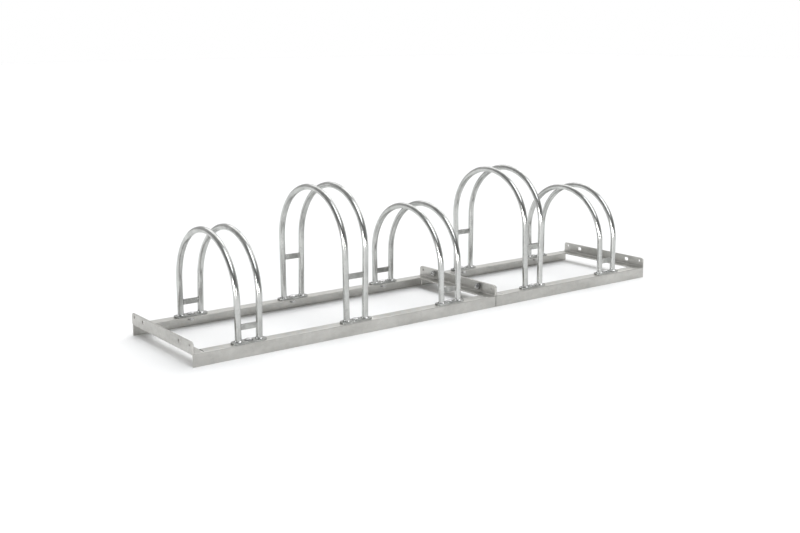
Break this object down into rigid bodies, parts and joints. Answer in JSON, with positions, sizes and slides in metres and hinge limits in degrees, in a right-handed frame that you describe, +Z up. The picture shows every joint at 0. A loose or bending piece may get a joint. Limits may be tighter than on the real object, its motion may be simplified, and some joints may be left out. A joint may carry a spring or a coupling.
{
  "type": "floor bike rack",
  "caption": "Floor bike rack of galvanised steel: bolted frames of angle carry pairs of bent tube hoops at two heights, which hold a bicycle's front wheel between them.",
  "frame": {"origin": "on the floor at the middle of the whole rack", "axes": "+X along the rails, +Y from front to back, +Z up"},
  "size_m": [1.75, 0.385, 0.4189],
  "materials": {
    "galvanised_angle": "hot-dip galvanised rolled angle, dull silver with a faint zinc bloom",
    "galvanised_tube": "hot-dip galvanised bent tube, brighter and smoother than the angle",
    "galvanised_plate": "hot-dip galvanised flat bar, dull silver",
    "galvanised_weld": "hot-dip galvanised fillet weld, rippled",
    "zinc_plated_fastener": "bright zinc plated steel"
  },
  "bodies": {
    "root": {"bracket_left_module_left": "galvanised_angle", "bracket_left_module_right": "galvanised_angle", "bracket_right_module_left": "galvanised_angle", "bracket_right_module_right": "galvanised_angle", "cross_plate_1_back": "galvanised_plate", "cross_plate_1_front": "galvanised_plate", "cross_plate_2_back": "galvanised_plate", "cross_plate_2_front": "galvanised_plate", "cross_plate_3_back": "galvanised_plate", "cross_plate_3_front": "galvanised_plate", "cross_plate_4_back": "galvanised_plate", "cross_plate_4_front": "galvanised_plate", "cross_plate_5_back": "galvanised_plate", "cross_plate_5_front": "galvanised_plate", "foot_bolts": "zinc_plated_fastener", "foot_nuts": "zinc_plated_fastener", "foot_plate_1_back": "galvanised_plate", "foot_plate_1_front": "galvanised_plate", "foot_plate_2_back": "galvanised_plate", "foot_plate_2_front": "galvanised_plate", "foot_plate_3_back": "galvanised_plate", "foot_plate_3_front": "galvanised_plate", "foot_plate_4_back": "galvanised_plate", "foot_plate_4_front": "galvanised_plate", "foot_plate_5_back": "galvanised_plate", "foot_plate_5_front": "galvanised_plate", "foot_washers": "zinc_plated_fastener", "hoop_1_left": "galvanised_tube", "hoop_1_right": "galvanised_tube", "hoop_2_left": "galvanised_tube", "hoop_2_right": "galvanised_tube", "hoop_3_left": "galvanised_tube", "hoop_3_right": "galvanised_tube", "hoop_4_left": "galvanised_tube", "hoop_4_right": "galvanised_tube", "hoop_5_left": "galvanised_tube", "hoop_5_right": "galvanised_tube", "joining_bolts": "zinc_plated_fastener", "joining_nuts": "zinc_plated_fastener", "joining_washers": "zinc_plated_fastener", "leg_weld_beads": "galvanised_weld", "rail_left_back": "galvanised_angle", "rail_left_front": "galvanised_angle", "rail_right_back": "galvanised_angle", "rail_right_front": "galvanised_angle"}
  },
  "joints": []
}
